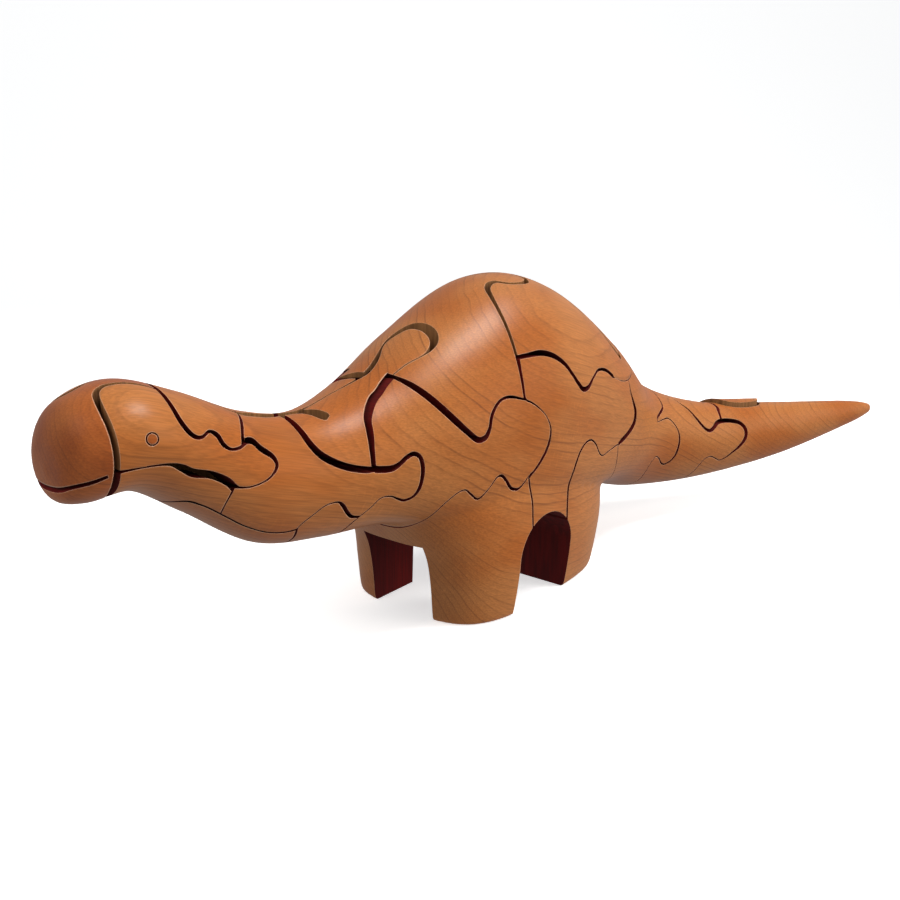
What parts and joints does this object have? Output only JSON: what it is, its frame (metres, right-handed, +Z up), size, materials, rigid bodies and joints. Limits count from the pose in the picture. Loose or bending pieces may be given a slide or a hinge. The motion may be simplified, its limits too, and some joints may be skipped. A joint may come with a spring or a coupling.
{
  "type": "wooden 3d jigsaw animal",
  "caption": "Sauropod carved from a hardwood block and sawn into interlocking jigsaw pieces that lift and slide apart, standing on its feet.",
  "frame": {"origin": "on the ground plane of the soles, under the middle of the overall length and width", "axes": "+X from nose to tail tip, +Z up, -Y the animal's left side, which the tail tip sweeps towards"},
  "size_m": [0.4314, 0.141, 0.1255],
  "materials": {
    "cherry": "oiled satin, grain running along the body",
    "cherry_snout": "oiled satin, darker on the rounded end grain",
    "eye_peg": "oiled satin end grain with a dark ring round it"
  },
  "bodies": {
    "front_legs": {"front_legs": "cherry"},
    "shoulder": {"shoulder": "cherry"},
    "chest": {"chest": "cherry"},
    "neck_band_left": {"neck_band_left": "cherry"},
    "neck_band_right": {"neck_band_right": "cherry"},
    "throat": {"throat": "cherry"},
    "jaw": {"jaw": "cherry"},
    "nape_left": {"nape_left": "cherry"},
    "nape_right": {"nape_right": "cherry"},
    "muzzle": {"muzzle": "cherry_snout"},
    "cheek_left": {"cheek_left": "cherry", "eye_left": "eye_peg"},
    "cheek_right": {"cheek_right": "cherry", "eye_right": "eye_peg"},
    "neck_left": {"neck_left": "cherry"},
    "neck_right": {"neck_right": "cherry"},
    "hump_front": {"hump_front": "cherry"},
    "hump_rear": {"hump_rear": "cherry"},
    "rump_right": {"rump_right": "cherry"},
    "flank": {"flank": "cherry"},
    "rear_legs": {"rear_legs": "cherry"},
    "tail_root": {"tail_root": "cherry"},
    "tail_middle": {"tail_middle": "cherry"},
    "tail_saddle": {"tail_saddle": "cherry"},
    "tail_tip": {"tail_tip": "cherry"},
    "tail_key": {"tail_key": "cherry"}
  },
  "joints": [
    {"name": "shoulder_slide", "type": "slide", "parent": "front_legs", "child": "shoulder", "axis": [0, -1, 0], "range_m": [0, 0.095]},
    {"name": "chest_slide", "type": "slide", "parent": "front_legs", "child": "chest", "axis": [0, -1, 0], "range_m": [0, 0.06]},
    {"name": "neck_band_left_slide", "type": "slide", "parent": "front_legs", "child": "neck_band_left", "axis": [0, -1, 0], "range_m": [0, 0.07]},
    {"name": "neck_band_right_slide", "type": "slide", "parent": "front_legs", "child": "neck_band_right", "axis": [0, 1, 0], "range_m": [0, 0.07]},
    {"name": "throat_slide", "type": "slide", "parent": "front_legs", "child": "throat", "axis": [0, -1, 0], "range_m": [0, 0.06]},
    {"name": "jaw_slide", "type": "slide", "parent": "front_legs", "child": "jaw", "axis": [0, -1, 0], "range_m": [0, 0.06]},
    {"name": "nape_left_slide", "type": "slide", "parent": "front_legs", "child": "nape_left", "axis": [0, -1, 0], "range_m": [0, 0.06]},
    {"name": "nape_right_slide", "type": "slide", "parent": "front_legs", "child": "nape_right", "axis": [0, 1, 0], "range_m": [0, 0.06]},
    {"name": "muzzle_slide", "type": "slide", "parent": "front_legs", "child": "muzzle", "axis": [0, -1, 0], "range_m": [0, 0.06]},
    {"name": "cheek_left_slide", "type": "slide", "parent": "muzzle", "child": "cheek_left", "axis": [0, -1, 0], "range_m": [0, 0.04]},
    {"name": "cheek_right_slide", "type": "slide", "parent": "muzzle", "child": "cheek_right", "axis": [0, 1, 0], "range_m": [0, 0.04]},
    {"name": "neck_left_lift", "type": "slide", "parent": "front_legs", "child": "neck_left", "axis": [0, 0, 1], "range_m": [0, 0.065]},
    {"name": "neck_right_lift", "type": "slide", "parent": "front_legs", "child": "neck_right", "axis": [0, 0, 1], "range_m": [0, 0.065]},
    {"name": "hump_front_lift", "type": "slide", "parent": "front_legs", "child": "hump_front", "axis": [0, 0, 1], "range_m": [0, 0.065]},
    {"name": "hump_rear_lift", "type": "slide", "parent": "front_legs", "child": "hump_rear", "axis": [0, 0, 1], "range_m": [0, 0.065]},
    {"name": "rump_right_lift", "type": "slide", "parent": "front_legs", "child": "rump_right", "axis": [0, 0, 1], "range_m": [0, 0.065]},
    {"name": "flank_slide", "type": "slide", "parent": "front_legs", "child": "flank", "axis": [0, -1, 0], "range_m": [0, 0.095]},
    {"name": "rear_legs_slide", "type": "slide", "parent": "front_legs", "child": "rear_legs", "axis": [0, -1, 0], "range_m": [0, 0.095]},
    {"name": "tail_root_slide", "type": "slide", "parent": "front_legs", "child": "tail_root", "axis": [0, -1, 0], "range_m": [0, 0.095]},
    {"name": "tail_middle_slide", "type": "slide", "parent": "front_legs", "child": "tail_middle", "axis": [0, -1, 0], "range_m": [0, 0.085]},
    {"name": "tail_saddle_slide", "type": "slide", "parent": "front_legs", "child": "tail_saddle", "axis": [0, -1, 0], "range_m": [0, 0.06]},
    {"name": "tail_tip_slide", "type": "slide", "parent": "front_legs", "child": "tail_tip", "axis": [0, -1, 0], "range_m": [0, 0.095]},
    {"name": "tail_key_slide", "type": "slide", "parent": "tail_tip", "child": "tail_key", "axis": [0, 1, 0], "range_m": [0, 0.05]}
  ]
}
